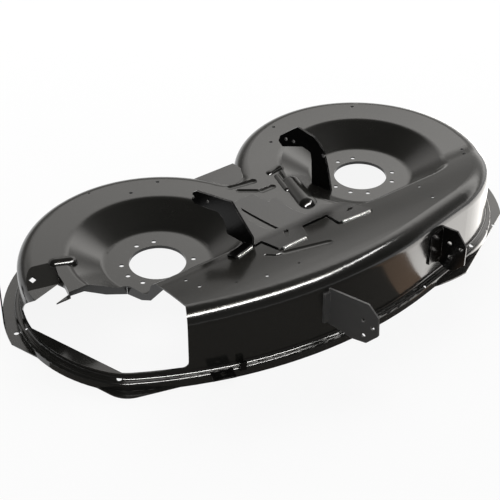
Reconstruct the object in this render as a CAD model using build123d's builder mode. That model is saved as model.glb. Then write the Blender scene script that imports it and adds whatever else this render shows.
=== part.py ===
"""Shell of a two-blade side-discharge mower deck, drawn from one steel sheet.

Plan: +X runs along the cutting width with the discharge at -X, -Y is the front of the mower,
+Z is up. The shell stands on its rim at z = 0. It is drawn around the left spindle, and the
finished pieces are centred on the whole deck when they are written.
"""

import os
from math import acos, asin, atan2, cos, degrees, radians, sin, sqrt, tan

from build123d import *

# Sheet and heights above the rim
sheet = 3.0
crown_height = 135.0
floor_height = 95.0
shelf_height = 20.0
sill_height = 34.0
sheet_blank = 220.0

# Spindles: pitch between them, and how far the right one leads to the front
spindle_pitch = 546.0
stagger_angle = 17.2
spindle_hole = 116.8
collar_depth = 7.0
bolt_circle = 147.0
bolt_hole = 10.0
bolt_angles_left = (45, 75, 135, 165, 195, 285, 315)
bolt_angles_right = (45, 75, 165, 195, 225, 285, 315)

# Skirt outline
lobe_radius = 283.0
front_radius = 895.0
front_centre_x = 424.0
front_centre_y = 463.0
notch_radius = 20.0
nose_radius = 120.0
crown_edge_radius = 32.0

# Front band, rising from the crown towards the front
band_start = 112.0
band_slope = 14.5
band_radius = 1150.0
band_blend = 150.0

# Spindle wells
well_floor_radius = 112.0
well_wall_slope = 30.0
well_edge_radius = 22.0
well_floor_blend = 20.0
well_corner_radius = 30.0
well_front_left = 95.0
well_front_right = 138.0
well_front_slope = 75.0

# Stamped details of the drawn sheet, as plan points, each run with its radius and its rise or depth
pad_crease = ((-211, 164), (-161, 133))
pad_wall = ((-172, 117), (-188, 96), (-206, 62))
pad_drop = 14.0
pad_slope = 14.0
ridges = (
    ((-160, 130), (-138, 110), 15, 8),
    ((355, -88), (310, -158), 24, 13),
    ((359, -28), (390, -32), 10, 5),
    ((357, -50), (327, -96), 9, 5),
)
grooves = (
    ((262, 8), (310, -17), 14, 4),
    ((262, -15), (283, -45), 10, 3),
    ((291, -56), (317, -64), 14, 3),
    ((221, -204), (286, -223), 5, 5),
    ((286, -223), (264, -267), 5, 5),
    ((112, -163), (132, -165), 5, 5),
    ((132, -165), (118, -216), 5, 5),
    ((86, -208), (93, -229), 6, 2.5),
    ((93, -229), (150, -263), 6, 2.5),
    ((111, -236), (185, -290), 18, 3),
)

# Rim
bead_width = 14.0
bead_radius = 6.0
shelf_blend = 7.0
flange_radius = 322.0
end_reach = 287.0
flange_corner_radius = 55.0
flange_front_angle = -80.0
flange_corner_angle = -124.0
flange_corner_reach = 277.5

# Discharge opening: plan points of its edge, from the skirt behind round to the skirt in front
discharge_edge = ((-266, 86), (-246, 50), (-95, 2), (-104, -92), (-143, -184), (-168, -208))
discharge_corner_radius = 18.0
discharge_bend_radius = 60.0
discharge_side_angle = -131.0
discharge_foot_radius = 12.0
discharge_side_profile = ((171, 34), (132, 85), (86, 123))
sill_line = -254.0
roof_lip_left = ((4, 127), (62, 122), (110, 92), (158, 71))
roof_lip_right = ((0, 71), (40, 76), (66, 88), (100, 130))

# Holes as plan points
crown_hole = 8.0
crown_holes = (
    (713, -19), (468, 45), (691, -323), (672, -338), (482, -331), (449, -381),
    (188, 149), (121, 168), (527, 78), (19, -258), (-63, -123), (-73, -164),
)
pin_hole = 5.0
pin_holes = ((68, 240), (88, -286), (-30, -221))
square_hole = 12.0
square_hole_at = (-222, 134)
flange_hole = 11.0
flange_holes = ((-257, 161), (-259, -111), (644, -442), (520, -448))
shelf_hole = 7.0
shelf_holes = ((336, -438), (-250, 137))

# Rear plate in the notch between the lobes
rear_plate_top = 130.0
rear_plate_points = ((241, 100), (351, 66), (320, -60), (235, -35))

# Reinforcing plate on the crown between the wells
centre_plate_left = ((266, -46), (216, -34), (136, -141), (112, -163), (132, -165), (118, -216))
centre_plate_front = ((114, -221), (186, -241), (221, -204), (286, -223), (264, -267), (343, -298), (350, -225))
centre_plate_right = ((318, -190), (269, -184), (266, -167), (267, -143), (277, -114), (283, -98), (274, -91), (261, -94))
crescent_near = ((208, -60), (176, -118), (178, -158))
crescent_far = ((208, -60), (197, -122), (192, -167))
lance = ((190, -186), (170, -202))
lance_width = 10.0
plate_pin_hole = (271, -64)
plate_slot = ((319, -256), (331, -253))
plate_slot_width = 9.0

# Hanger brackets: upright plates, outlines as (y, z) in the plane of the plate
hanger_sheet = 5.0
hanger_corner = 4.0
hanger_foot = 20.0
left_hanger_x = 110.0
left_hanger_back = ((-160, 130), (-161, 158), (-108, 225), (-21, 218), (-11, 211), (-8, 192), (-17, 185))
left_hanger_front = ((-73, 188), (-86, 178), (-94, 163), (-96, 143), (-135, 138), (-136, 130))
left_hanger_holes = ((-48, 203), (-11, 201))
left_hanger_foot = 60.0
right_hanger_x = 430.0
right_hanger_back = ((-145, 90), (-142, 109), (-133, 150), (-121, 191), (-97, 215), (-52, 226), (-8, 190))
right_hanger_front = ((-3, 175), (-14, 164), (-67, 182), (-88, 174), (-91, 155), (-94, 90))
right_hanger_holes = ((-23, 186), (-43, 187), (-121, 178))
hanger_hole = 8.0

# Gauge wheel brackets: outlines as (y, z) in the plane of the plate
gauge_sheet = 4.0
gauge_corner = 5.0
gauge_foot_low = 60.0
gauge_foot_high = 131.0
gauge_hole = 9.0
left_gauge_x = 80.0
left_gauge_points = ((-340, 139), (-452, 139), (-475, 115), (-477, 73), (-451, 45), (-420, 42), (-340, 60))
left_gauge_holes = ((-442, 97), (-463, 87), (-444, 61))
left_gauge_foot = 14.0
right_gauge_x = 400.0
right_gauge_points = ((-410, 135), (-470, 134), (-493, 102), (-492, 57), (-469, 34), (-452, 32), (-410, 60))
right_gauge_holes = ((-455, 99), (-482, 93), (-459, 66))
right_gauge_foot = 45.0

# Small pieces on the rim
chute_tab_angle = -127.5
chute_tab_length = 46.0
chute_tab_depth = 26.0
chute_tab_hole = 9.0
clip_angle = -124.8
clip_length = 14.0
clip_depth = 8.0
clip_height = 12.0
end_tab_angle = 139.0
end_tab_width = 20.0
end_tab_height = 92.0

# Weld beads, from plan point to plan point
weld_radius = 4.0
plate_welds = (((122, -225), (180, -241)), ((270, -271), (336, -297)))
foot_weld = ((54, -162), (102, -162))

left = Vector(0, 0, 0)
right = Vector(spindle_pitch * cos(radians(stagger_angle)), -spindle_pitch * sin(radians(stagger_angle)), 0)
front_centre = Vector(front_centre_x, front_centre_y, 0)
along = (right - left).normalized()
forward = Vector(along.Y, -along.X, 0)
up = Vector(0, 0, 1)


def polar(centre, radius, angle):
    return centre + Vector(radius * cos(radians(angle)), radius * sin(radians(angle)), 0)


def skirt_outline(inset):
    """Plan outline of the skirt, moved inwards by inset."""
    lobe = lobe_radius - inset
    front = front_radius - inset
    reach = right - front_centre
    turn = degrees(acos((front_radius - lobe_radius) / reach.length))
    tangent = degrees(atan2(reach.Y, reach.X)) - turn
    start = degrees(atan2(-front_centre.Y, -front_centre.X))
    arc_start = polar(front_centre, front, start)
    arc_end = polar(front_centre, front, tangent)
    lobe_end = polar(right, lobe, tangent)
    with BuildSketch() as outline:
        with Locations(left):
            Circle(lobe)
        with Locations(front_centre):
            Circle(front, mode=Mode.INTERSECT)
        with Locations(right):
            Circle(lobe)
        with BuildLine():
            CenterArc(front_centre, front, start, tangent - start)
            Polyline(arc_end, lobe_end, right, left, arc_start)
        make_face()
        notch_guess = (left + right) / 2 - forward * (lobe_radius / 3)
        notch = outline.vertices().sort_by_distance(notch_guess)[0]
        fillet(notch, notch_radius + inset)
        nose = outline.vertices().sort_by_distance(polar(left, lobe, -155))[0]
        fillet(nose, nose_radius - inset)
    return outline.sketch


def crown_block(inset):
    """Everything below the top of the deck: flat crown, then the arched rise of the front band."""
    flat = crown_height - inset
    behind = -2 * lobe_radius
    ahead = 2 * lobe_radius
    arch = band_radius - inset
    arch_v = band_start + band_radius * sin(radians(band_slope))
    arch_z = crown_height - band_radius * cos(radians(band_slope))
    crease = arch_v - sqrt(arch**2 - (flat - arch_z) ** 2)
    first = degrees(acos((crease - arch_v) / arch))
    last = degrees(acos((ahead - arch_v) / arch))
    with BuildPart() as block:
        with BuildSketch(Plane(left, x_dir=forward, z_dir=forward.cross(up))) as profile:
            with BuildLine():
                band = CenterArc((arch_v, arch_z), arch, first, last - first)
                Polyline(band @ 0, (behind, flat), (behind, -sheet_blank), (ahead, -sheet_blank), band @ 1)
            make_face()
            valley = profile.vertices().sort_by_distance((crease, flat, 0))[0]
            fillet(valley, band_blend + inset)
        extrude(amount=3 * lobe_radius, both=True)
    return block.part


def well_tool(centre, front_line, inset):
    """Space of one spindle well above the sheet, grown by inset."""
    floor = floor_height - inset
    depth = sheet_blank - floor
    floor_radius = well_floor_radius + inset * tan(radians(well_wall_slope / 2))
    lean = depth / tan(radians(well_front_slope))
    drop = (crown_height - floor_height) / tan(radians(well_front_slope))
    foot = front_line - drop + inset * tan(radians(well_front_slope / 2))
    with BuildPart() as tool:
        with BuildSketch(Plane(centre + up * floor)):
            Circle(floor_radius)
        extrude(amount=depth, taper=-(90 - well_wall_slope))
        with BuildSketch(Plane(centre, x_dir=forward, z_dir=forward.cross(up))):
            with BuildLine():
                Polyline(
                    (-2 * lobe_radius, floor),
                    (foot, floor),
                    (foot + lean, floor + depth),
                    (-2 * lobe_radius, floor + depth),
                    close=True,
                )
            make_face()
        extrude(amount=2 * lobe_radius, both=True, mode=Mode.INTERSECT)
        corners = [e for e in tool.edges() if e.bounding_box().size.Z > depth / 2 and e.geom_type != GeomType.LINE]
        corners = [e for e in corners if abs((e @ 0.5 - centre).dot(forward) - foot) < lean]
        fillet(corners, well_corner_radius + inset)
        fillet(tool.faces().sort_by(Axis.Z)[0].edges(), well_floor_blend + inset)
    return tool.part


def crown_point(x, y):
    """Point of the outer skin of the crown or the front band above a plan point."""
    ahead = Vector(x, y, 0).dot(forward) - band_start
    rise = band_radius * (cos(asin(ahead / band_radius - sin(radians(band_slope)))) - cos(radians(band_slope)))
    return Vector(x, y, crown_height + max(rise, 0))


def rounded_rods(runs, inset, is_raised):
    """Rods with round ends, sunk into the sheet so that each run stands out or dips by its own amount."""
    with BuildPart() as rods:
        for start, end, radius, step in runs:
            lift = step - radius if is_raised else radius - step
            size = radius - inset if is_raised else radius + inset
            foot = crown_point(*start) + up * lift
            head = crown_point(*end) + up * lift
            with BuildSketch(Plane(foot, z_dir=(head - foot).normalized())):
                Circle(size)
            extrude(amount=(head - foot).length)
            with Locations(foot, head):
                Sphere(size)
    return rods.part


def pad_tool(inset):
    """Space above the sunk pad beside the discharge opening."""
    crease_start = Vector(*pad_crease[0])
    crease_end = Vector(*pad_crease[1])
    across = (crease_end - crease_start).normalized()
    downhill = across.cross(up)
    level = crown_height - inset
    run = pad_drop / tan(radians(pad_slope))
    with BuildPart() as tool:
        with BuildSketch():
            with BuildLine():
                Polyline(
                    crease_start - across * lobe_radius,
                    crease_end,
                    *pad_wall,
                    Vector(*pad_wall[-1]) + downhill * lobe_radius,
                    crease_start + (downhill - across) * lobe_radius,
                    close=True,
                )
            make_face()
            offset(amount=inset)
        extrude(amount=sheet_blank)
        with BuildSketch(Plane(crease_start, x_dir=downhill, z_dir=downhill.cross(up))):
            with BuildLine():
                Polyline(
                    (0, level),
                    (run, level - pad_drop),
                    (2 * lobe_radius, level - pad_drop),
                    (2 * lobe_radius, sheet_blank),
                    (-sheet_blank, sheet_blank),
                    (-sheet_blank, level),
                    close=True,
                )
            make_face()
        extrude(amount=2 * lobe_radius, both=True, mode=Mode.INTERSECT)
    return tool.part


def edges_between(shape, is_chosen):
    """Edges that part the chosen faces from the other faces."""
    seen = {}
    for face in shape.faces():
        chosen = is_chosen(face)
        for edge in face.edges():
            seen.setdefault(edge, []).append(chosen)
    return [edge for edge, flags in seen.items() if True in flags and False in flags]


def drawn_form(inset):
    """The drawn shape as a solid, moved inwards by inset: outer skin at 0, inner skin at sheet."""
    block = crown_block(inset)
    wells = [
        well_tool(left, well_front_left, inset),
        well_tool(right, well_front_right, inset),
    ]
    skirt = skirt_outline(inset)
    bead = skirt_outline(inset - bead_width)
    shelf = shelf_height - inset
    with BuildPart() as body:
        add(skirt)
        extrude(amount=sheet_blank)
        add(block, mode=Mode.INTERSECT)
        fillet(edges_between(body.part, lambda f: f.normal_at().Z > 0.5), crown_edge_radius - inset)
        for tool in wells:
            add(tool, mode=Mode.SUBTRACT)
            mouth = [e for e in body.edges(Select.LAST) if e.bounding_box().min.Z > crown_height - inset - 0.5]
            fillet(mouth, well_edge_radius - inset)
        add(pad_tool(inset), mode=Mode.SUBTRACT)
        add(rounded_rods(ridges, inset, True))
        add(rounded_rods(grooves, inset, False), mode=Mode.SUBTRACT)
        add(bead)
        extrude(amount=shelf)
        ledge = [f for f in body.faces().filter_by(Plane.XY) if abs(f.center().Z - shelf) < 0.01][0]
        fillet(ledge.outer_wire().edges(), bead_radius - inset)
        ledge = [f for f in body.faces().filter_by(Plane.XY) if abs(f.center().Z - shelf) < 0.01][0]
        fillet([e for w in ledge.inner_wires() for e in w.edges()], shelf_blend + inset)
    return body.part


def flange_outline():
    """Plan outline of the flat flange outside the bead."""
    clip = 4 * lobe_radius
    with BuildSketch() as sketch:
        with Locations(left):
            Circle(flange_radius)
        with Locations(Location((-end_reach + clip / 2, 0, 0))):
            Rectangle(clip, clip, mode=Mode.INTERSECT)
        corner_line = polar(left, flange_corner_reach - clip / 2, flange_corner_angle)
        with Locations(Location(corner_line, (0, 0, flange_corner_angle))):
            Rectangle(clip, clip, mode=Mode.INTERSECT)
        corner = sketch.vertices().sort_by_distance((-end_reach, -end_reach / 2, 0))[0]
        fillet(corner, flange_corner_radius)
    with BuildSketch() as other:
        with Locations(right):
            Circle(flange_radius)
        front_line = polar(right, lobe_radius + bead_width - clip / 2, flange_front_angle)
        with Locations(Location(front_line, (0, 0, flange_front_angle))):
            Rectangle(clip, clip, mode=Mode.INTERSECT)
    with BuildSketch() as flange:
        add(sketch.sketch)
        add(other.sketch)
        add(skirt_outline(-bead_width))
    return flange.sketch


def discharge_cutter():
    """Space of the discharge opening, above the sill and through roof and skirt."""
    outward = polar(Vector(0, 0, 0), lobe_radius / 2, discharge_side_angle)
    front_corner = Vector(*discharge_edge[-1]) + outward
    rear_corner = Vector(*discharge_edge[0]) * 2 - Vector(*discharge_edge[1])
    far = -2 * lobe_radius
    with BuildPart() as cutter:
        with BuildSketch(Plane.XY.offset(sill_height)) as roof:
            with BuildLine():
                Polyline(rear_corner, *discharge_edge[1:], front_corner, (far, front_corner.Y), (far, rear_corner.Y), close=True)
            make_face()
            fillet(roof.vertices().sort_by_distance(discharge_edge[2])[0], discharge_corner_radius)
            fillet(roof.vertices().sort_by_distance(discharge_edge[3])[0], discharge_bend_radius)
        extrude(amount=sheet_blank)
        foot = cutter.faces().sort_by(Axis.Z)[0].edges().sort_by_distance(front_corner - outward / 2)[0]
        fillet(foot, discharge_foot_radius)
        with BuildSketch(Plane.YZ.offset(far)):
            with BuildLine():
                side = ThreePointArc(*discharge_side_profile)
                Polyline(side @ 1, (discharge_edge[1][1], (side @ 1).Y), (discharge_edge[1][1], sill_height), side @ 0)
            make_face()
        extrude(amount=-far - 0.7 * lobe_radius)
    return cutter.part


def roof_lip(start, end, profile):
    """Strip turned down along one straight run of the roof edge."""
    run = (Vector(*end) - Vector(*start)).normalized()
    with BuildPart() as lip:
        with BuildSketch(Plane(Vector(*start), x_dir=run, z_dir=run.cross(up))):
            with BuildLine():
                Polyline(*profile, (profile[-1][0], crown_height), (profile[0][0], crown_height), close=True)
            make_face()
        extrude(amount=-sheet)
        add(outer, mode=Mode.INTERSECT)
    return lip.part


def laid_on_crown(outline, thickness):
    """Sheet laid on the crown and the front band, with the given plan outline."""
    with BuildPart() as laid:
        add(outline)
        extrude(amount=sheet_blank)
        add(crown_block(-thickness), mode=Mode.INTERSECT)
        add(crown, mode=Mode.SUBTRACT)
    return laid.part


def laid_on_skirt(middle, width, low, high, thickness):
    """Sheet laid on the front of the skirt, as a strip of the given width."""
    with BuildPart() as laid:
        with BuildSketch(Plane.XY.offset(low)):
            add(skirt_outline(-thickness))
            add(skirt_outline(0), mode=Mode.SUBTRACT)
            with Locations(Location((middle, -1.5 * lobe_radius, 0))):
                Rectangle(width, lobe_radius * 1.8, mode=Mode.INTERSECT)
        extrude(amount=high - low)
    return laid.part


def upright(x, thickness, points, corner, holes, hole_size):
    """Upright plate across the deck, centred on x, with rounded corners and round holes."""
    with BuildPart() as plate:
        with BuildSketch(Plane.YZ.offset(x - thickness / 2)) as face:
            with BuildLine():
                Polyline(*points, close=True)
            make_face()
            fillet(face.vertices(), corner)
            with Locations(*holes):
                Circle(hole_size / 2, mode=Mode.SUBTRACT)
        extrude(amount=thickness)
    return plate.part


def weld_bead(start, end):
    """Round weld bead on the crown between two plan points."""
    run = crown_point(*end) - crown_point(*start)
    with BuildPart() as bead:
        with BuildSketch(Plane(crown_point(*start), z_dir=run.normalized())):
            Circle(weld_radius)
        extrude(amount=run.length)
    return bead.part


def rim_box(radius, angle, depth, length, low, high):
    """Block on the front rim, turned square to it."""
    with BuildPart() as block:
        with Locations(Location(polar(front_centre, radius, angle) + up * low, (0, 0, angle))):
            Box(depth, length, high - low, align=(Align.MIN, Align.CENTER, Align.MIN))
    return block.part


outer = drawn_form(0)
inner = drawn_form(sheet)
rim = flange_outline()
opening = discharge_cutter()
crown = crown_block(0)
lip_left = roof_lip(discharge_edge[1], discharge_edge[2], roof_lip_left)
lip_right = roof_lip(discharge_edge[2], discharge_edge[3], roof_lip_right)

with BuildPart() as deck_shell:
    add(outer)
    add(rim)
    extrude(amount=sheet)
    add(inner, mode=Mode.SUBTRACT)
    with BuildSketch() as bead_mouth:
        add(skirt_outline(sheet - bead_width))
    extrude(amount=sheet, mode=Mode.SUBTRACT)
    with BuildSketch(Plane.XY.offset(sill_height - sheet)):
        add(skirt_outline(sheet / 2))
        with Locations(Location((sill_line - lobe_radius, 0, 0))):
            Rectangle(2 * lobe_radius, 2 * lobe_radius, mode=Mode.INTERSECT)
    extrude(amount=sheet)
    add(lip_left)
    add(lip_right)
    add(opening, mode=Mode.SUBTRACT)
    with BuildSketch(Plane.XY.offset(floor_height)):
        with Locations(left, right):
            Circle(spindle_hole / 2 + sheet)
    extrude(amount=-collar_depth)
    with BuildSketch(Plane.XY.offset(floor_height / 2)):
        with Locations(left, right):
            Circle(spindle_hole / 2)
        with Locations(*[polar(left, bolt_circle / 2, angle) for angle in bolt_angles_left]):
            Circle(bolt_hole / 2)
        with Locations(*[polar(right, bolt_circle / 2, angle) for angle in bolt_angles_right]):
            Circle(bolt_hole / 2)
        with Locations(*crown_holes):
            Circle(crown_hole / 2)
        with Locations(*pin_holes):
            Circle(pin_hole / 2)
        with Locations(square_hole_at):
            Rectangle(square_hole, square_hole)
    extrude(amount=sheet_blank, mode=Mode.SUBTRACT)
    with BuildSketch():
        with Locations(*flange_holes):
            Circle(flange_hole / 2)
        with Locations(*shelf_holes):
            Circle(shelf_hole / 2)
    extrude(amount=shelf_height + sheet, mode=Mode.SUBTRACT)

with BuildPart() as rear_plate:
    with BuildSketch(Plane.XY.offset(rear_plate_top - sheet)):
        with BuildLine():
            Polyline(*rear_plate_points, close=True)
        make_face()
    extrude(amount=sheet)
    add(outer, mode=Mode.SUBTRACT)

with BuildSketch() as centre_outline:
    with BuildLine():
        Polyline(*centre_plate_left, *centre_plate_front, *centre_plate_right, close=True)
    make_face()
    with BuildLine():
        near_side = ThreePointArc(*crescent_near)
        far_side = ThreePointArc(*crescent_far)
        Line(near_side @ 1, far_side @ 1)
    make_face(mode=Mode.SUBTRACT)
    with Locations(plate_pin_hole):
        Circle(pin_hole / 2, mode=Mode.SUBTRACT)
    for ends, width in ((plate_slot, plate_slot_width), (lance, lance_width)):
        with BuildLine():
            slot_line = Line(*ends)
        SlotArc(slot_line, width, mode=Mode.SUBTRACT)

with BuildPart() as centre_plate:
    add(laid_on_crown(centre_outline.sketch, sheet))

with BuildSketch() as left_foot_outline:
    with Locations((left_hanger_x - left_hanger_foot / 2, left_hanger_back[0][0] + hanger_foot / 2)):
        Rectangle(left_hanger_foot, hanger_foot)

with BuildPart() as left_hanger:
    add(upright(left_hanger_x, hanger_sheet, left_hanger_back + left_hanger_front, hanger_corner, left_hanger_holes, hanger_hole))
    add(laid_on_crown(left_foot_outline.sketch, hanger_sheet))
    add(crown, mode=Mode.SUBTRACT)

with BuildPart() as right_hanger:
    add(upright(right_hanger_x, hanger_sheet, right_hanger_back + right_hanger_front, hanger_corner, right_hanger_holes, hanger_hole))
    add(outer, mode=Mode.SUBTRACT)

with BuildPart() as left_gauge_bracket:
    add(upright(left_gauge_x, gauge_sheet, left_gauge_points, gauge_corner, left_gauge_holes, gauge_hole))
    add(laid_on_skirt(left_gauge_x - left_gauge_foot / 2, left_gauge_foot, gauge_foot_low, gauge_foot_high, gauge_sheet))
    add(outer, mode=Mode.SUBTRACT)

with BuildPart() as right_gauge_bracket:
    add(upright(right_gauge_x, gauge_sheet, right_gauge_points, gauge_corner, right_gauge_holes, gauge_hole))
    add(laid_on_skirt(right_gauge_x - right_gauge_foot / 2, right_gauge_foot, gauge_foot_low, gauge_foot_high, gauge_sheet))
    add(outer, mode=Mode.SUBTRACT)

shelf_start = front_radius + shelf_blend
with BuildPart() as chute_tab:
    add(rim_box(shelf_start, chute_tab_angle, chute_tab_depth, chute_tab_length, shelf_height - sheet, shelf_height))
    with BuildSketch(Plane.XY.offset(shelf_height)):
        with Locations(polar(front_centre, shelf_start + chute_tab_depth / 2, chute_tab_angle)):
            Circle(chute_tab_hole / 2)
    extrude(amount=-shelf_height, mode=Mode.SUBTRACT)
    add(outer, mode=Mode.SUBTRACT)

with BuildPart() as clip:
    add(rim_box(shelf_start, clip_angle, clip_depth, clip_length, shelf_height - bead_radius, shelf_height + clip_height))
    add(outer, mode=Mode.SUBTRACT)

with BuildPart() as end_tab:
    with Locations(Location(polar(left, flange_radius, end_tab_angle) + up * sheet, (0, 0, end_tab_angle))):
        Box(sheet, end_tab_width, end_tab_height, align=(Align.MAX, Align.CENTER, Align.MIN))

with BuildPart() as weld_beads:
    for start, end in plate_welds:
        add(weld_bead(start, end))
    add(weld_bead(*foot_weld))
    add(crown, mode=Mode.SUBTRACT)
    add(centre_plate.part, mode=Mode.SUBTRACT)
    add(left_hanger.part, mode=Mode.SUBTRACT)

# The finished pieces stand centred on the deck and its furthest front bracket
widest = deck_shell.part.bounding_box().add(right_gauge_bracket.part.bounding_box())
to_centre = (-widest.center().X, -widest.center().Y, 0)

os.makedirs("parts", exist_ok=True)

deck_shell.part.label = "deck_shell"
deck_shell.part.position = to_centre
export_step(deck_shell.part, "parts/deck_shell.step")

rear_plate.part.label = "rear_plate"
rear_plate.part.position = to_centre
export_step(rear_plate.part, "parts/rear_plate.step")

centre_plate.part.label = "centre_plate"
centre_plate.part.position = to_centre
export_step(centre_plate.part, "parts/centre_plate.step")

left_hanger.part.label = "left_hanger"
left_hanger.part.position = to_centre
export_step(left_hanger.part, "parts/left_hanger.step")

right_hanger.part.label = "right_hanger"
right_hanger.part.position = to_centre
export_step(right_hanger.part, "parts/right_hanger.step")

left_gauge_bracket.part.label = "left_gauge_bracket"
left_gauge_bracket.part.position = to_centre
export_step(left_gauge_bracket.part, "parts/left_gauge_bracket.step")

right_gauge_bracket.part.label = "right_gauge_bracket"
right_gauge_bracket.part.position = to_centre
export_step(right_gauge_bracket.part, "parts/right_gauge_bracket.step")

chute_tab.part.label = "chute_tab"
chute_tab.part.position = to_centre
export_step(chute_tab.part, "parts/chute_tab.step")

clip.part.label = "clip"
clip.part.position = to_centre
export_step(clip.part, "parts/clip.step")

end_tab.part.label = "end_tab"
end_tab.part.position = to_centre
export_step(end_tab.part, "parts/end_tab.step")

weld_beads.part.label = "weld_beads"
weld_beads.part.position = to_centre
export_step(weld_beads.part, "parts/weld_beads.step")
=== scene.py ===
# %% [markdown]
# # The mower deck, dressed
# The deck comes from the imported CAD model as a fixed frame: one drawn shell and the plates and brackets that
# are welded to it. This file leaves those shapes alone and gives them their looks. First come the camera
# and the light, because black paint shows almost nothing but what stands around it.

# %% Load the fixed frame
import math

import bmesh
import bpy
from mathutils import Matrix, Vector

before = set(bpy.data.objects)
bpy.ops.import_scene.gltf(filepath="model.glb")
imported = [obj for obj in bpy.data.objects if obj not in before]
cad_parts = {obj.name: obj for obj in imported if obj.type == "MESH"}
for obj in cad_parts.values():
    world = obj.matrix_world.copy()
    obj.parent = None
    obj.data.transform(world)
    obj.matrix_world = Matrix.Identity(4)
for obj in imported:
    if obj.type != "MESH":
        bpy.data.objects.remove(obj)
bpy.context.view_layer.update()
scene = bpy.context.scene
scene.view_settings.view_transform = "Standard"
print("nodes:", sorted(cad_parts))

# %% [markdown]
# ## Camera
# The photograph was taken from the front left, from well above, with a long lens. Its place was worked out
# from the two round wells: how flat their circles look gives the height, and the line between their centres
# gives the direction. A long lens keeps the far lobe nearly as large as the near one, as it is in the photo.

# %% Camera
CAMERA_PLACE = Vector((-1.9600, -1.3486, 1.6985))
CAMERA_DOWN = math.radians(35.5)
CAMERA_TURN = math.radians(-54.5)
LENS = 96.48
SENSOR_WIDTH = 36.0


def place_camera():
    data = bpy.data.cameras.new("photo_camera")
    data.lens = LENS
    data.sensor_width = SENSOR_WIDTH
    camera = bpy.data.objects.new("photo_camera", data)
    camera.location = CAMERA_PLACE
    camera.rotation_euler = (math.pi / 2 - CAMERA_DOWN, 0, CAMERA_TURN)
    scene.collection.objects.link(camera)
    scene.camera = camera


place_camera()
print("camera stands", round(CAMERA_PLACE.length, 2), "m from the middle of the deck")

# %% [markdown]
# ## Helpers
# Every material below is a small net of nodes. These helpers add a node together with what goes into it,
# start an empty material, and lay down a flat piece of the studio.

# %% Helpers
WHITE = (1, 1, 1, 1)


def fill(tree, node, inputs):
    """Links each input that is given a socket, and sets every other input to its value."""
    for name, value in inputs.items():
        if isinstance(value, bpy.types.NodeSocket):
            tree.links.new(value, node.inputs[name])
        else:
            node.inputs[name].default_value = value


def add(tree, kind, inputs=None, **settings):
    """Adds a shader node with its settings and inputs."""
    node = tree.nodes.new("ShaderNode" + kind)
    for name, value in settings.items():
        setattr(node, name, value)
    fill(tree, node, inputs or {})
    return node


def calculate(tree, operation, first, second):
    """Result of a Math node from two numbers or sockets."""
    return add(tree, "Math", {0: first, 1: second}, operation=operation).outputs[0]


def empty_material(name):
    material = bpy.data.materials.new(name)
    material.use_nodes = True
    material.node_tree.nodes.clear()
    return material


def glow(tree, colour, level):
    """Lets a material do nothing but glow. The level is a number or a socket."""
    light = add(tree, "Emission", {"Color": (*colour, 1), "Strength": level})
    add(tree, "OutputMaterial", {"Surface": light.outputs[0]})


def flat_piece(name, corners, material):
    mesh = bpy.data.meshes.new(name)
    mesh.from_pydata(corners, [], [tuple(range(len(corners)))])
    mesh.materials.append(material)
    piece = bpy.data.objects.new(name, mesh)
    scene.collection.objects.link(piece)
    return piece


print("helpers are ready")

# %% [markdown]
# ## Floor and world
# A shop photograph has a white ground with hardly any shadow. The floor is a pale matt sheet that is painted
# nearly white for the camera, and it keeps a little of the deck's shadow, so that the deck doesn't float.
# The world is white for the camera too, and dimmer as a light. Mirror rays would see both as white, but the
# studio and the cards further down stand in their way.

# %% Floor and world
FLOOR_COLOUR = (0.8, 0.8, 0.8, 1)
FLOOR_WHITE = 1.0
# Share of the white glow. The rest is the matt sheet, which keeps the shadow.
FLOOR_GLOW_SHARE = 0.9
FLOOR_HALF_SIDE = 12.0
FLOOR_HEIGHT = -0.0005
WORLD_WHITE = 1.0
WORLD_LIGHT = 0.50


def mix_for_camera(tree, plain, seen, share):
    """Shows 'seen' to camera, glossy and transmission rays for a share, and 'plain' to the rest."""
    rays = add(tree, "LightPath").outputs
    looking = calculate(tree, "MAXIMUM", rays["Is Camera Ray"], rays["Is Glossy Ray"])
    looking = calculate(tree, "MAXIMUM", looking, rays["Is Transmission Ray"])
    part = calculate(tree, "MULTIPLY", looking, share)
    return add(tree, "MixShader", {0: part, 1: plain.outputs[0], 2: seen.outputs[0]}).outputs[0]


def white_floor():
    material = empty_material("pale_floor")
    tree = material.node_tree
    matt = add(tree, "BsdfDiffuse", {"Color": FLOOR_COLOUR})
    seen = add(tree, "Emission", {"Color": WHITE, "Strength": FLOOR_WHITE})
    add(tree, "OutputMaterial", {"Surface": mix_for_camera(tree, matt, seen, FLOOR_GLOW_SHARE)})
    signs = ((-1, -1), (1, -1), (1, 1), (-1, 1))
    corners = [(x * FLOOR_HALF_SIDE, y * FLOOR_HALF_SIDE, FLOOR_HEIGHT) for x, y in signs]
    floor = flat_piece("floor", corners, material)


def white_world():
    world = bpy.data.worlds.new("studio")
    scene.world = world
    world.use_nodes = True
    tree = world.node_tree
    tree.nodes.clear()
    light = add(tree, "Background", {"Color": WHITE, "Strength": WORLD_LIGHT})
    seen = add(tree, "Background", {"Color": WHITE, "Strength": WORLD_WHITE})
    add(tree, "OutputWorld", {"Surface": mix_for_camera(tree, light, seen, 1.0)})


white_floor()
white_world()
print("floor and world are in place")

# %% [markdown]
# ## Lamp
# One wide, soft window high behind the deck gives the plain light. It isn't seen in mirror images, because
# the studio further down has a window of its own there.

# %% Lamp
BEHIND = Vector((math.sin(-CAMERA_TURN), math.cos(-CAMERA_TURN), 0))
WINDOW_DISTANCE = 4.0
WINDOW_HEIGHT = 2.8
WINDOW_SIZE = (5.0, 2.4)
WINDOW_POWER = 260
AIM = Vector((0, 0, 0.1))


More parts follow.
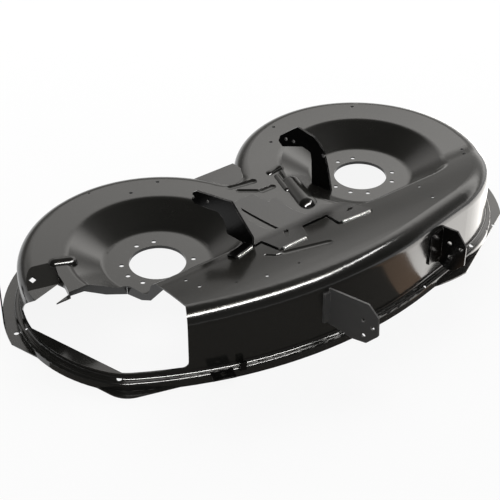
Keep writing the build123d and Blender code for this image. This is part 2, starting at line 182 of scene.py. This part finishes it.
def rear_window():
    data = bpy.data.lights.new("rear_window", "AREA")
    data.shape = "RECTANGLE"
    data.size, data.size_y = WINDOW_SIZE
    data.energy = WINDOW_POWER
    place = BEHIND * WINDOW_DISTANCE + Vector((0, 0, WINDOW_HEIGHT))
    lamp = bpy.data.objects.new("rear_window", data)
    lamp.location = place
    lamp.rotation_euler = (AIM - place).to_track_quat("-Z", "Y").to_euler()
    lamp.visible_glossy = False
    scene.collection.objects.link(lamp)
    return lamp


window = rear_window()
print("lamp at", tuple(round(v, 2) for v in window.location))

# %% [markdown]
# ## Studio room
# Every level face of the deck mirrors what stands behind it, and every upright face mirrors the floor in
# front. In the photograph the level faces are grey and the upright ones nearly black. So a half sphere that
# only mirror rays see stands for the photographer's room: a pale back wall, a broad window above it and a
# dark ceiling.

# %% Light of the room
SHELL_RADIUS = 9.0
ROOM_COLOUR = (1.0, 0.98, 0.95)
# Brightness of the room by angle: 0 is the horizon behind the deck, 90 is overhead, 180 is behind the camera
ROOM = (
    (0, 1.3), (7, 0.9), (13, 0.55), (20, 0.40), (26, 0.9), (31, 2.1), (38, 2.0), (46, 1.6), (56, 0.30),
    (72, 0.10), (100, 0.04), (135, 0.04), (165, 0.10), (180, 0.15),
)
# Brightness that the top of the curve stands for
ROOM_PEAK = 4.0
# How much brighter the right is than the middle, and how much darker the left
ROOM_TILT = 0.55


def room_material():
    """Light of the room by direction, brighter to the right, where the photograph has its window."""
    material = empty_material("studio_room")
    tree = material.node_tree
    split = add(tree, "SeparateXYZ", {0: add(tree, "TexCoord").outputs["Object"]}).outputs
    angle = calculate(tree, "ARCTAN2", split["Z"], split["Y"])
    share = calculate(tree, "DIVIDE", angle, math.pi)
    ramp = add(tree, "FloatCurve", {"Value": share})
    curve = ramp.mapping.curves[0]
    while len(curve.points) < len(ROOM):
        curve.points.new(0.5, 0.5)
    for point, (degree, level) in zip(curve.points, ROOM):
        point.location = (degree / 180, level / ROOM_PEAK)
        point.handle_type = "VECTOR"
    ramp.mapping.update()
    side = add(tree, "MapRange", {
        "Value": split["X"],
        "From Min": -SHELL_RADIUS / 2,
        "From Max": SHELL_RADIUS / 2,
        "To Min": ROOM_PEAK * (1 - ROOM_TILT),
        "To Max": ROOM_PEAK * (1 + ROOM_TILT),
    })
    glow(tree, ROOM_COLOUR, calculate(tree, "MULTIPLY", ramp.outputs[0], side.outputs[0]))
    return material


room_light = room_material()
print("the room's light is set at", len(ROOM), "angles")

# %% Half sphere around the deck
SHELL_SEGMENTS = 96
SHELL_RINGS = 64


def only_mirrored(piece):
    """Keeps a piece of the studio out of everything but the mirror images in the paint."""
    piece.visible_camera = False
    piece.visible_diffuse = False
    piece.visible_transmission = False
    piece.visible_volume_scatter = False
    piece.visible_shadow = False


def studio_shell():
    mesh = bpy.data.meshes.new("studio_shell")
    shape = bmesh.new()
    bmesh.ops.create_uvsphere(shape, u_segments=SHELL_SEGMENTS, v_segments=SHELL_RINGS, radius=SHELL_RADIUS)
    below = [face for face in shape.faces if face.calc_center_median().z < 0]
    bmesh.ops.delete(shape, geom=below, context="FACES")
    shape.to_mesh(mesh)
    shape.free()
    mesh.materials.append(room_light)
    shell = bpy.data.objects.new("studio_shell", mesh)
    shell.rotation_euler = (0, 0, CAMERA_TURN)
    scene.collection.objects.link(shell)
    only_mirrored(shell)


studio_shell()
print("studio shell of", SHELL_RADIUS, "m is only seen in mirror images")

# %% [markdown]
# ## Cards and strips
# A dark mat on the floor keeps the near skirt black. Two patches further right give the skirt its glare and
# its brown tint. Three long strips over the front of the deck, on the camera's side of its edge, draw the
# bright lines along the rounded edges. Like the room, all of them are seen by mirror rays only.

# %% Cards on the floor
MAT_HEIGHT = 0.0003
PATCH_HEIGHT = 0.0006
DARK_MAT = ((-2.5, -0.6), (-0.9, -2.2), (0.25, -1.6), (0.10, -0.30), (-0.45, -0.05), (-0.62, 0.20))
SUNLIT_PATCH = (
    (0.10, -0.37), (0.24, -0.80), (0.95, -0.80), (0.95, 0.10), (0.58, 0.10), (0.52, -0.25), (0.30, -0.36),
)
BROWN_PATCH = ((0.02, -0.36), (0.10, -0.37), (0.24, -0.80), (0.08, -0.80))
# Name, outline in plan, height, brightness, colour
CARDS = (
    ("dark_mat", DARK_MAT, MAT_HEIGHT, 0.16, (1.0, 0.93, 0.84)),
    ("sunlit_patch", SUNLIT_PATCH, PATCH_HEIGHT, 4.0, (1.0, 0.97, 0.93)),
    ("brown_patch", BROWN_PATCH, PATCH_HEIGHT, 0.7, (1.0, 0.70, 0.50)),
)


def glowing_card(name, corners, level, colour):
    """Flat card of even brightness with the given corners."""
    material = empty_material(name)
    glow(material.node_tree, colour, level)
    only_mirrored(flat_piece(name, corners, material))


for name, outline, height, level, colour in CARDS:
    glowing_card(name, [(x, y, height) for x, y in outline], level, colour)
print(len(CARDS), "cards lie on the floor")

# %% Strips over the front
FRONT_EDGE = (Vector((-0.90, 0.02, 0.14)), Vector((0.90, -0.52, 0.14)))
RIGHT_EDGE = (Vector((0.90, -0.52, 0.14)), Vector((1.55, -0.10, 0.14)))
STRIP_HEIGHT = 1.2
# Name, edge to follow, angle towards the camera in degrees, width, brightness, colour
STRIPS = (
    ("main_strip", FRONT_EDGE, 36, 0.24, 60.0, (1.0, 0.99, 0.97)),
    ("side_strip", RIGHT_EDGE, 36, 0.14, 30.0, (1.0, 0.99, 0.97)),
    ("thin_strip", FRONT_EDGE, 25, 0.05, 20.0, (1.0, 0.95, 0.82)),
)


def strip_light(name, edge, lean, width, level, colour):
    """Long strip over an edge of the deck, moved towards the camera by an angle."""
    start, end = edge
    shift = Vector((0, 0, STRIP_HEIGHT)) - BEHIND * STRIP_HEIGHT * math.tan(math.radians(lean))
    run = (end - start).normalized()
    side = Vector((run.y, -run.x, 0)) * width / 2
    corners = [start + shift - side, end + shift - side, end + shift + side, start + shift + side]
    glowing_card(name, corners, level, colour)


for row in STRIPS:
    strip_light(*row)
print(len(STRIPS), "strips hang over the front")

# %% [markdown]
# ## Paint groups
# The real finish is a baked black coat on drawn steel: smooth, a little wavy like orange peel, with a faint
# film of dust on the level faces and a little bare steel at the sharp edges. Waves, dust and worn edges are
# groups, because every painted piece uses them.

# %% Paint waves as a shared group
def new_group(name, inputs, outputs):
    """Group with number sockets, together with what comes into it and what it puts out."""
    group = bpy.data.node_groups.new(name, "ShaderNodeTree")
    for socket, value in inputs.items():
        made = group.interface.new_socket(socket, in_out="INPUT", socket_type="NodeSocketFloat")
        made.default_value = value
    for socket in outputs:
        group.interface.new_socket(socket, in_out="OUTPUT", socket_type="NodeSocketFloat")
    given = group.nodes.new("NodeGroupInput")
    result = group.nodes.new("NodeGroupOutput")
    return group, given.outputs, result


def paint_waves_group():
    """Group that puts out a height of fine orange peel and a roughness that drifts over the sheet."""
    group, given, result = new_group(
        "paint_waves",
        {"Peel Scale": 260.0, "Drift Scale": 7.0, "Smooth": 0.24, "Dull": 0.34},
        ("Height", "Roughness"),
    )
    where = add(group, "TexCoord").outputs["Object"]
    peel = add(group, "TexNoise", {"Vector": where, "Scale": given["Peel Scale"], "Detail": 2.0})
    drift = add(group, "TexNoise", {"Vector": where, "Scale": given["Drift Scale"], "Detail": 3.0})
    rough = add(group, "MapRange", {
        "Value": drift.outputs["Fac"], "To Min": given["Smooth"], "To Max": given["Dull"],
    })
    fill(group, result, {"Height": peel.outputs["Fac"], "Roughness": rough.outputs["Result"]})
    return group


paint_waves = paint_waves_group()
print("group sockets:", [s.name for s in paint_waves.interface.items_tree])

# %% Dust as a shared group
# Upward part of the normal from which dust can lie on a face
DUST_FROM = 0.2


def dust_film_group():
    """Group that puts out how much dust lies on a face: most on level faces, in uneven patches."""
    group, given, result = new_group("dust_film", {"Patch Scale": 9.0, "Amount": 0.10}, ("Mask",))
    where = add(group, "TexCoord").outputs["Object"]
    patches = add(group, "TexNoise", {
        "Vector": where, "Scale": given["Patch Scale"], "Detail": 6.0, "Roughness": 0.65,
    })
    normal = add(group, "NewGeometry").outputs["Normal"]
    upward = add(group, "SeparateXYZ", {0: normal}).outputs["Z"]
    level = add(group, "MapRange", {"Value": upward, "From Min": DUST_FROM, "From Max": 1.0})
    lying = calculate(group, "MULTIPLY", patches.outputs["Fac"], level.outputs["Result"])
    fill(group, result, {"Mask": calculate(group, "MULTIPLY", lying, given["Amount"])})
    return group


dust_film = dust_film_group()
print("dust film:", len(dust_film.nodes), "nodes")

# %% Worn edges as a shared group
BEVEL_SAMPLES = 4
# How well a rounded and a true normal agree where an edge starts to wear, and where it is worn through
WEAR_STARTS, WEAR_FULL = 0.98, 0.80
# Between these two values of the noise, the wear along an edge goes from none to all
CHIPS_START, CHIPS_FULL = 0.45, 0.62


def worn_edge_group():
    """Group that puts out a mask of the sharp edges, where the coat is thin and a little steel shows."""
    group, given, result = new_group("worn_edge", {"Reach": 0.0009}, ("Mask",))
    rounded = add(group, "Bevel", {"Radius": given["Reach"]}, samples=BEVEL_SAMPLES)
    normal = add(group, "NewGeometry").outputs["Normal"]
    agree = add(group, "VectorMath", {0: rounded.outputs["Normal"], 1: normal}, operation="DOT_PRODUCT")
    sharp = add(group, "MapRange", {
        "Value": agree.outputs["Value"], "From Min": WEAR_STARTS, "From Max": WEAR_FULL,
    })
    where = add(group, "TexCoord").outputs["Object"]
    chips = add(group, "TexNoise", {"Vector": where, "Scale": 60.0, "Detail": 4.0})
    broken = add(group, "MapRange", {
        "Value": chips.outputs["Fac"], "From Min": CHIPS_START, "From Max": CHIPS_FULL,
    })
    both = calculate(group, "MULTIPLY", sharp.outputs["Result"], broken.outputs["Result"])
    fill(group, result, {"Mask": both})
    return group


worn_edge = worn_edge_group()
print("worn edge:", len(worn_edge.nodes), "nodes")

# %% [markdown]
# ## Paint and weld beads with a painted glint
# One function makes every black coat. The shell is the smoothest, the plates are a little duller, the
# hangers are the blackest, and the near gauge bracket is matter and greyer, as in the photograph. Its grey
# is painted light, which stands for the window light that falls on its face.

# %% The black coat
DUST = (0.16, 0.145, 0.115)
BARE_STEEL = (0.32, 0.31, 0.30)
PEEL_DEPTH = 0.0004


def blend(tree, mask, lower, upper):
    """Colour that goes from lower to upper by a mask. Lower is a colour or the output of a node."""
    if isinstance(lower, tuple):
        lower = (*lower, 1)
    mix = add(tree, "Mix", {"Factor": mask, "A": lower, "B": (*upper, 1)}, data_type="RGBA")
    return mix.outputs["Result"]


def black_paint(name, shade, smooth, dull, peel, dust, wear, gloss=0.5):
    """Black coat. Its roughness drifts from smooth to dull, peel is the strength of its waves, dust the
    amount of dust, wear the reach of bare edges in metres, and gloss how much it mirrors."""
    material = bpy.data.materials.new(name)
    material.use_nodes = True
    tree = material.node_tree
    film = add(tree, "Group", {"Amount": dust}, node_tree=dust_film)
    edges = add(tree, "Group", {"Reach": wear}, node_tree=worn_edge)
    waves = add(tree, "Group", {"Smooth": smooth, "Dull": dull}, node_tree=paint_waves)
    dusty = blend(tree, film.outputs["Mask"], shade, DUST)
    bump = add(tree, "Bump", {"Strength": peel, "Distance": PEEL_DEPTH, "Height": waves.outputs["Height"]})
    fill(tree, tree.nodes["Principled BSDF"], {
        "Base Color": blend(tree, edges.outputs["Mask"], dusty, BARE_STEEL),
        "Roughness": waves.outputs["Roughness"],
        "Specular IOR Level": gloss,
        "Normal": bump.outputs["Normal"],
    })
    return material


shell_paint = black_paint(
    "shell_black", shade=(0.011, 0.011, 0.010), smooth=0.11, dull=0.19, peel=0.10, dust=0.06, wear=0.0007,
)
plate_paint = black_paint(
    "plate_black", shade=(0.012, 0.012, 0.012), smooth=0.18, dull=0.28, peel=0.12, dust=0.08, wear=0.0009,
)
hanger_paint = black_paint(
    "hanger_black", shade=(0.003, 0.003, 0.003), smooth=0.16, dull=0.24, peel=0.15, dust=0.01, wear=0.0011,
    gloss=0.2,
)
# The greyer shade of this coat is painted light: it stands for the window light on the bracket's face.
gauge_lit_paint = black_paint(
    "gauge_grey_painted_light", shade=(0.050, 0.050, 0.050), smooth=0.36, dull=0.46, peel=0.20, dust=0.05, wear=0.0011,
)
print("four black coats are mixed")

# %% Weld beads with a painted glint
# The silver is a painted highlight: it stands for the glints on the black-coated beads.
WELD_GLINT_SILVER = (0.55, 0.55, 0.54)
WELD_PITS = (0.12, 0.12, 0.12)
RIPPLE_DEPTH = 0.0012


def weld_with_painted_glint():
    """Weld bead under a thin coat: ripples across the run, with darker pits. Its silvery colour is a painted
    highlight, which stands for the glints on the coated beads.
    """
    material = bpy.data.materials.new("weld_glint_silver")
    material.use_nodes = True
    tree = material.node_tree
    where = add(tree, "TexCoord").outputs["Object"]
    ripples = add(tree, "TexWave", {"Vector": where, "Scale": 55.0, "Distortion": 3.5, "Detail": 2.0})
    pits = add(tree, "TexNoise", {"Vector": where, "Scale": 220.0})
    bump = add(tree, "Bump", {"Strength": 0.9, "Distance": RIPPLE_DEPTH, "Height": ripples.outputs["Fac"]})
    fill(tree, tree.nodes["Principled BSDF"], {
        "Metallic": 0.75,
        "Roughness": 0.30,
        "Base Color": blend(tree, pits.outputs["Fac"], WELD_GLINT_SILVER, WELD_PITS),
        "Normal": bump.outputs["Normal"],
    })
    return material


weld_glint_silver = weld_with_painted_glint()
print("weld metal is mixed")

# %% [markdown]
# ## Dressing
# Each node of the frame gets one material. Its mesh stays as it is.

# %% Dress the nodes
DRESS = (
    (shell_paint, ("deck_shell",)),
    (plate_paint, ("rear_plate", "centre_plate")),
    (hanger_paint, ("left_hanger", "right_hanger", "right_gauge_bracket", "chute_tab", "clip", "end_tab")),
    (gauge_lit_paint, ("left_gauge_bracket",)),
    (weld_glint_silver, ("weld_beads",)),
)

for material, nodes in DRESS:
    for node in nodes:
        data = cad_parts[node].data
        data.materials.clear()
        data.materials.append(material)
print("every node is painted:", sum(len(nodes) for material, nodes in DRESS) == len(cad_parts))
